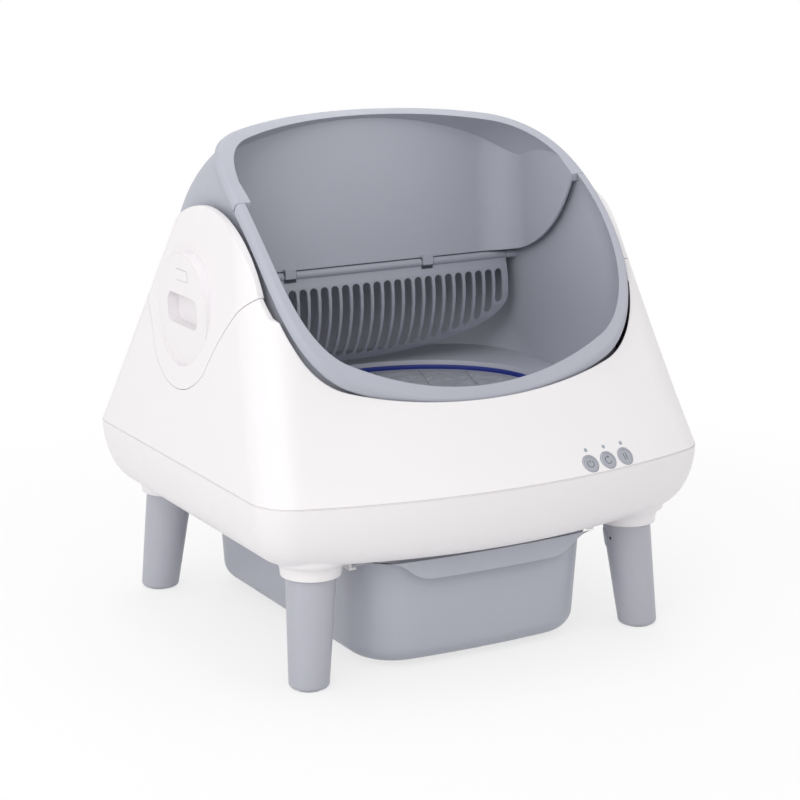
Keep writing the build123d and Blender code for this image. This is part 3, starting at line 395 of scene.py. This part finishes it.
def reshaped(name, node, body, moved):
    """A copy of a node's mesh with each point moved, which stands for that node."""
    mesh = nodes[node].data.copy()
    for vertex in mesh.vertices:
        vertex.co = moved(vertex.co.copy())
    piece = placed(name, mesh, body)
    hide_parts(node)
    return piece


def disc_mesh(point, rings, turns):
    """Points and faces of a disc, from a function of the share from the middle and the turn."""
    verts = [point(0.0, 0.0)]
    for ring in range(1, rings + 1):
        verts += [point(ring / rings, 2 * math.pi * i / turns) for i in range(turns)]
    faces = [(0, 1 + i, 1 + (i + 1) % turns) for i in range(turns)]
    for ring in range(rings - 1):
        inner = 1 + ring * turns
        outer = inner + turns
        for i in range(turns):
            ahead = (i + 1) % turns
            faces.append((inner + i, outer + i, outer + ahead, inner + ahead))
    return verts, faces


def hoop_faces(turns, rows):
    """Faces of a closed hoop whose points run row by row at each turn."""
    faces = []
    for i in range(turns):
        here = i * rows
        ahead = (i + 1) % turns * rows
        faces += [(here + r, ahead + r, ahead + r + 1, here + r + 1) for r in range(rows - 1)]
    return faces


def strip_faces(start, end, rows):
    """Faces of an open strip whose points run row by row from start to end."""
    faces = []
    for here in range(start, end - rows, rows):
        ahead = here + rows
        faces += [(here + r, here + r + 1, ahead + r + 1, ahead + r) for r in range(rows - 1)]
    return faces


def eased(share):
    """0 to 1 with soft ends."""
    share = min(max(share, 0.0), 1.0)
    return share * share * (3 - 2 * share)


# Drum skin: the shell with its front lip turned down about the drum's axis, along the barrel
drum_joint = next(j for j in frame["record"]["behaviour"]["joints"] if j["name"] == "drum_turn")
drum_axis = Vector(drum_joint["pos_m"])


def lowered_lip(point):
    """A point of the drum shell, turned about the drum's axis where it is near the front lip."""
    depth = mouth_radius - math.hypot(point.y - mouth_y, point.z - mouth_z)
    near_lip = 1 - eased((depth - lip_depth) / lip_blend)
    near_front = eased((notch_y - point.y) / lip_run)
    turn = Matrix.Rotation(lip_lower * near_lip * near_front, 3, "X")
    return drum_axis + turn @ (point - drum_axis)


reshaped("drum_skin", "drum_shell", "drum", lowered_lip)

# Handle skin: the pull lip drawn a little wider round the drawer's bowed front, with a higher ridge
handle_low, handle_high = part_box("drawer_handle")
handle_height = handle_high.z - handle_low.z


def grown_handle(point):
    """A point of the handle, spread round the bow's axis and raised near the ridge."""
    turn = math.atan2(point.x, bow_y - point.y) * handle_spread
    radius = math.hypot(point.x, bow_y - point.y)
    rise = point.z - handle_low.z
    over = (rise - handle_rise) / (handle_height - handle_rise)
    lift = handle_lift * (eased(rise / handle_rise) - eased(over))
    return Vector((radius * math.sin(turn), bow_y - radius * math.cos(turn), point.z + lift))


reshaped("handle_skin", "drawer_handle", "drawer", grown_handle)

# Fabric liner: a stretched dish of sewn panels inside the hoop
liner_low, liner_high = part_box("bed_liner")
liner_centre = (liner_low + liner_high) / 2
liner_half = (liner_high - liner_low) / 2


def liner_point(x, y):
    """A point of the cloth by its place from the middle: billowing panels and crinkles."""
    share = min(math.hypot(x / liner_half.x, y / liner_half.y), 1.0)
    free = min((1 - share) * liner_free, 1.0)
    panel = abs(math.sin(math.pi * (x - seam_lean * y - seam_start) / seam_pitch))
    coarse = noise.noise(Vector((x, coarse_stretch * y, coarse_layer)) / crease_pitch)
    fine = noise.noise(Vector((x, fine_stretch * y, fine_layer)) * fine_density / crease_pitch)
    crinkle = crease_level - coarse_share * abs(coarse) + fine_share * fine
    billow = liner_billow * panel**billow_power
    rise = free * (billow + liner_crease * crinkle) - liner_sag * (1 - share**2)
    return Vector((liner_centre.x + x, liner_centre.y + y, liner_high.z + rise))


def liner_spot(share, turn):
    """A point of the cloth by its share from the middle and its turn."""
    return liner_point(share * liner_half.x * math.cos(turn), share * liner_half.y * math.sin(turn))


verts, faces = disc_mesh(liner_spot, liner_rings, liner_spokes)
liner = mesh_piece("liner_cloth", verts, faces, fabric, "drum")
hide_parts("bed_liner")

# Seams between the liner's panels: flat-felled strips that follow the cloth
verts = []
faces = []
seam_count = math.ceil(2 * liner_half.x / seam_pitch)
seam_across = Vector((1, -seam_lean, 0)).normalized()
for panel in range(-seam_count, seam_count + 1):
    start = len(verts)
    for step in range(seam_steps + 1):
        y = liner_half.y * (2 * step / seam_steps - 1)
        x = seam_start + panel * seam_pitch + seam_lean * y
        if math.hypot(x / liner_half.x, y / liner_half.y) <= seam_reach:
            place = liner_point(x, y)
            for side, lift in seam_section:
                verts.append(place + seam_across * side * seam_half + Vector((0, 0, lift)))
    faces += strip_faces(start, len(verts), len(seam_section))
seams = mesh_piece("liner_seams", verts, faces, seam_cloth, "drum")


def button_frame(node):
    """Centre of a button's face, and its across, up and out directions, from its joint."""
    low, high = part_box(node)
    joint = next(j for j in frame["joints"] if j["child"] == button_bodies[node])
    out = -Vector(joint["axis"]).normalized()
    across = Vector((0, 0, 1)).cross(out).normalized()
    across = -across if across.x < 0 else across
    rise = out.cross(across)
    rise = -rise if rise.z < 0 else rise
    centre = (low + high) / 2
    face_level = max(out.dot(vertex.co - centre) for vertex in nodes[node].data.vertices)
    return centre + out * face_level, across, rise, out


def arc_stroke(first, last):
    """Points of an arc of radius 1, from one angle to another in degrees."""
    turns = [math.radians(first + (last - first) * i / mark_steps) for i in range(mark_steps + 1)]
    return [(math.cos(turn), math.sin(turn)) for turn in turns]


# Marks on the buttons: generic power, repeat and pause signs, in shares of the mark's size
marks = {
    "button_1": [arc_stroke(125, 415), [(0, 0.2), (0, 1.15)]],
    "button_2": [arc_stroke(60, 340), [(0.1, 0.62), (0.5, 0.87), (0.42, 1.35)]],
    "button_3": [[(-0.4, -1), (-0.4, 1)], [(0.4, -1), (0.4, 1)]],
}
for node, strokes in marks.items():
    centre, across, rise, out = button_frame(node)
    verts = []
    faces = []
    for stroke in strokes:
        start = len(verts)
        points = [Vector(point) * mark_size for point in stroke]
        for i, point in enumerate(points):
            along = (points[min(i + 1, len(points) - 1)] - points[max(i - 1, 0)]).normalized()
            for side, lift in mark_section:
                u = point.x - along.y * side * mark_half
                v = point.y + along.x * side * mark_half
                verts.append(centre + across * u + rise * v + out * (lift - dish_depth))
        faces += strip_faces(start, len(verts), len(mark_section))
    body = button_bodies[node]
    mesh_piece("mark_" + node, verts, faces, mark_paint, body, smooth=False)

# Collar sweeps: soft skins that carry each leg's collar into the curved tray
bpy.context.view_layer.update()
tray = nodes["base_tray"]


def tray_height(x, y):
    """Height of the tray's underside above a point."""
    hit, place, _, _ = tray.ray_cast(Vector((x, y, probe_level)), Vector((0, 0, 1)))
    return place.z if hit else tray_level


def leg_head(corner):
    """Centre of the plug at the top of a leg."""
    points = [vertex.co for vertex in nodes["leg_" + corner].data.vertices]
    top = max(point.z for point in points)
    ring = [point for point in points if point.z > top - top_band]
    return sum(ring, Vector()) / len(ring)


def collar_column(head, turn):
    """Radius and height of the collar's skin at a turn, up to where it sinks into the tray."""
    x, y = math.cos(turn), math.sin(turn)
    meet = tray_height(head.x + collar_meet * x, head.y + collar_meet * y)
    end = tray_height(head.x + collar_end * x, head.y + collar_end * y)
    flare_top = collar_flare[-1][1]
    bend = flare_top + collar_bend_share * (meet - flare_top)
    return (
        *collar_flare,
        (collar_bend, bend),
        (collar_meet, meet + collar_meet_sink),
        (collar_end, end + collar_end_sink),
    )


for corner in corners:
    head = leg_head(corner)
    verts = []
    for i in range(collar_turns):
        turn = 2 * math.pi * i / collar_turns
        column = collar_column(head, turn)
        verts += [(head.x + r * math.cos(turn), head.y + r * math.sin(turn), z) for r, z in column]
    faces = hoop_faces(collar_turns, len(column))
    mesh_piece("collar_sweep_" + corner, verts, faces, looks["white_shell"], "base")


def rounded(value):
    """A cosine or sine drawn out towards a rounded rectangle."""
    return math.copysign(abs(value) ** patch_corner, value)


def skin_patch(name, node, middle, out, half_size, lift, material):
    """A low rounded pad on a node's skin, around a spot that faces a direction."""
    across = Vector((0, 0, 1)).cross(out).normalized()
    rise = out.cross(across)

    def patch_point(share, turn):
        u = share * rounded(math.cos(turn)) * half_size[0]
        v = share * rounded(math.sin(turn)) * half_size[1]
        start = middle + across * u + rise * v
        hit, place, normal, _ = nodes[node].ray_cast(start + out * patch_probe, -out)
        height = lift * math.sqrt(max(1 - share**patch_edge, 0.0)) - patch_sink
        return (place if hit else start) + normal * height

    verts, faces = disc_mesh(patch_point, patch_rings, patch_turns)
    return mesh_piece(name, verts, faces, material, "base")


# Leg details: name, height, way, half width and height and lift in millimetres, look and slot; the near-black pads
# are painted shade for the dark inside of the catch's gap, the pin hole and the slit
leg_details = (
    ("catch_gap_shade_", catch_level, catch_way, (7.0, 13.2), 0.12, painted_recess_shade, "motor_black"),
    ("catch_tab_", catch_level, catch_way, (6.2, 12.4), 1.40, looks["grey_leg"], "grey_leg"),
    ("pin_rim_", hole_level, hole_way, (3.0, 3.0), 0.20, looks["grey_leg"], "grey_leg"),
    ("pin_hole_shade_", hole_level, hole_way, (2.1, 2.1), 0.26, painted_recess_shade, "motor_black"),
    ("slit_shade_", slit_level, catch_way, (1.6, 2.6), 0.14, painted_recess_shade, "motor_black"),
)
for corner in corners:
    head = leg_head(corner)
    inwards = -math.copysign(1, head.x)
    along = -math.copysign(1, head.y - leg_middle_y)
    for name, level, way, half_size, lift, material, slot in leg_details:
        middle = Vector((head.x, head.y, level))
        out = Vector((inwards * way[0], along * way[1], 0)).normalized()
        half = Vector(half_size) * MM
        skin_patch(name + corner, "leg_" + corner, middle, out, half, lift * MM, material)

# Seam bead: a pale strip that closes the parting line just below the skin
seam_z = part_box("base_housing")[0].z
verts = []
for i in range(bead_turns):
    turn = 2 * math.pi * i / bead_turns
    way = Vector((math.cos(turn), math.sin(turn), 0))
    start = Vector((0, 0, seam_z - bead_probe_drop)) + way * bead_probe_out
    _, place, normal, _ = tray.ray_cast(start, -way)
    side = Vector((normal.x, normal.y, 0)).normalized()
    for inset, level in bead_section:
        spot = place - side * inset
        verts.append((spot.x, spot.y, seam_z + level))
faces = hoop_faces(bead_turns, len(bead_section))
mesh_piece("seam_bead", verts, faces, looks["white_shell"], "base")


def seen_rays(tree):
    """1 for rays from the camera, a reflection or a clear body, and 0 for other light."""
    path = tree.nodes.new("ShaderNodeLightPath")
    glossy, clear = path.outputs["Is Glossy Ray"], path.outputs["Is Transmission Ray"]
    mirrored = joined(tree, "MAXIMUM", glossy, clear)
    return joined(tree, "MAXIMUM", path.outputs["Is Camera Ray"], mirrored)


# Floor: pale paint that turns plain white away from the object and keeps the shadow below it
bpy.ops.mesh.primitive_plane_add(size=2 * floor_half, location=(0, 0, 0))
floor = bpy.context.object
floor.name = "floor"
paint, tree, shader = node_tree("floor_paint")
shader.inputs["Base Color"].default_value = floor_colour
shader.inputs["Roughness"].default_value = floor_rough
shader.inputs["Specular IOR Level"].default_value = 0.0
white = add_node(tree, "ShaderNodeEmission", Strength=1.0)
place = tree.nodes.new("ShaderNodeTexCoord")
away_from = add_node(tree, "ShaderNodeVectorMath", operation="LENGTH")
tree.links.new(place.outputs["Object"], away_from.inputs[0])
fade = spread(tree, away_from.outputs["Value"], *shadow_reach, shadow_share, 1.0, "SMOOTHSTEP")
both = tree.nodes.new("ShaderNodeMixShader")
tree.links.new(joined(tree, "MULTIPLY", seen_rays(tree), fade), both.inputs["Fac"])
tree.links.new(shader.outputs["BSDF"], both.inputs[1])
tree.links.new(white.outputs["Emission"], both.inputs[2])
tree.links.new(both.outputs["Shader"], tree.nodes["Material Output"].inputs["Surface"])
floor.data.materials.append(paint)

# World: white behind the object, soft light elsewhere
scene = bpy.context.scene
world = bpy.data.worlds.new("studio")
scene.world = world
world.use_nodes = True
tree = world.node_tree
background = tree.nodes["Background"]
background.inputs["Color"].default_value = (1, 1, 1, 1)
level = spread(tree, seen_rays(tree), 0.0, 1.0, world_strength, 1.0)
tree.links.new(level, background.inputs["Strength"])


def aimed(name, data, place, way):
    """A lamp or a camera at a place, looking along a direction."""
    holder = bpy.data.objects.new(name, data)
    bpy.context.collection.objects.link(holder)
    holder.location = place
    holder.rotation_euler = way.to_track_quat("-Z", "Y").to_euler()
    return holder


for name, place, size, energy in lamps:
    lamp = bpy.data.lights.new(name, "AREA")
    lamp.shape = "SQUARE"
    lamp.size = size
    lamp.energy = energy
    aimed(name, lamp, place, lamp_target - Vector(place))

# Camera
camera = bpy.data.cameras.new("camera")
camera.lens = view_lens
camera.sensor_width = sensor_width
camera.sensor_fit = "HORIZONTAL"
camera.clip_end = view_limit
level_way = Vector((math.sin(view_turn), -math.cos(view_turn), 0))
away = level_way * math.cos(view_rise) + Vector((0, 0, math.sin(view_rise)))
scene.camera = aimed("camera", camera, view_target + away * view_distance, -away)
scene.view_settings.view_transform = "Standard"

bpy.context.view_layer.update()
